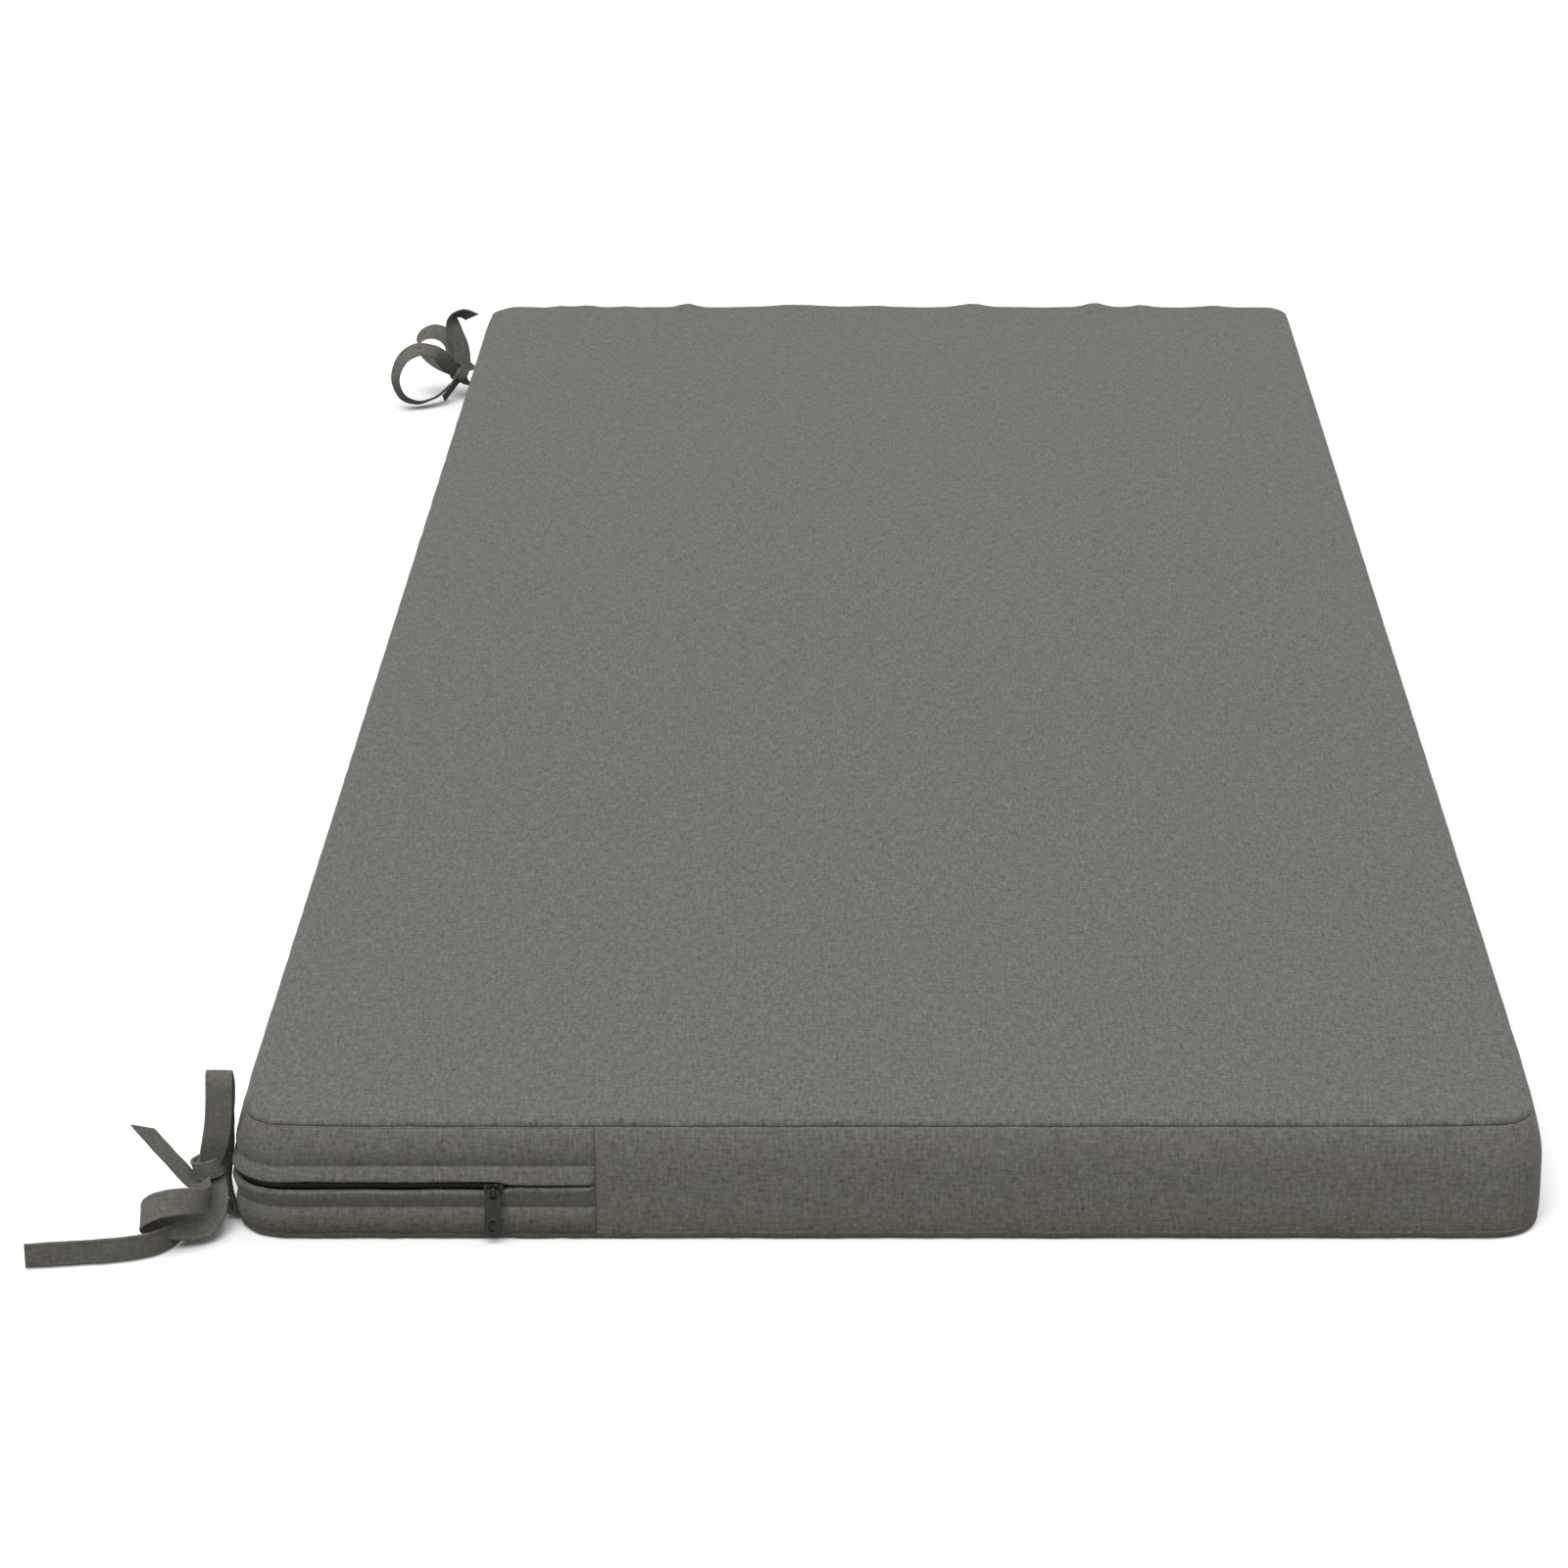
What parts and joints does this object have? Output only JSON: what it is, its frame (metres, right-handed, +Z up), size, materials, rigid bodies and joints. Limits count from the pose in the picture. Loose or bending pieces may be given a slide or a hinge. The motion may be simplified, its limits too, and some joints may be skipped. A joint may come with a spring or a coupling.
{
  "type": "bench cushion",
  "caption": "Long flat bench cushion in a sewn fabric cover, with a boxed edge, a zip round one side and fabric ties at the corners.",
  "frame": {"origin": "centre of the flat underside, where the cushion rests", "axes": "+Z up; +Y along the cushion's length, away from the short side with the zip pull; the zip and the ties are on the -X side"},
  "size_m": [0.5751, 1.2262, 0.0638],
  "materials": {
    "cover_cloth": "plain-woven heather grey upholstery cloth, matt",
    "zip_strip_upper_cloth": "the cover's heather grey cloth, folded back and topstitched",
    "zip_strip_lower_cloth": "the cover's heather grey cloth, folded back and topstitched",
    "zip_coil": "dark nylon coil on dark tape",
    "slider_metal": "dark painted die-cast slider, slightly worn at the edges",
    "pull_metal": "dark painted flat tab, slightly worn at the edges",
    "tie_front_tape": "flat tape of the cover's heather grey cloth with stitched edges",
    "tie_back_tape": "flat tape of the cover's heather grey cloth with stitched edges"
  },
  "bodies": {
    "root": {"cushion": "cover_cloth", "zip_strip_upper": "zip_strip_upper_cloth", "zip_strip_lower": "zip_strip_lower_cloth", "zip_chain": "zip_coil", "zip_slider": "slider_metal", "zip_pull": "pull_metal", "tie_front": "tie_front_tape", "tie_back": "tie_back_tape"}
  },
  "joints": []
}
